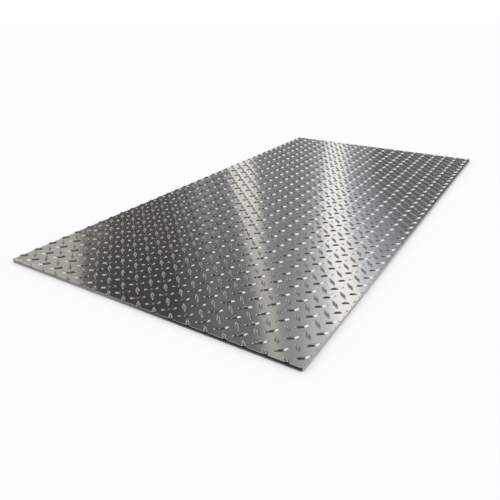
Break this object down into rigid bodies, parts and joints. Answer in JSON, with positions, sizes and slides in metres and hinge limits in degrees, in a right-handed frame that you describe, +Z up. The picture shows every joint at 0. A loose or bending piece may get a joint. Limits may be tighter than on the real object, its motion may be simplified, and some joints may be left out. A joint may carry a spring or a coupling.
{
  "type": "aluminium checker plate",
  "caption": "Flat rectangular aluminium tread plate, flat below and covered on top with raised lens-shaped lugs set crosswise for grip.",
  "frame": {"origin": "middle of the flat underside", "axes": "+Y along the plate's long side, +X along its short side, +Z up out of the lugged face"},
  "size_m": [0.6096, 1.2192, 0.0082],
  "materials": {
    "mill_aluminium": "bright mill finish, rolled, bare"
  },
  "bodies": {
    "root": {"checker_plate": "mill_aluminium"}
  },
  "joints": []
}
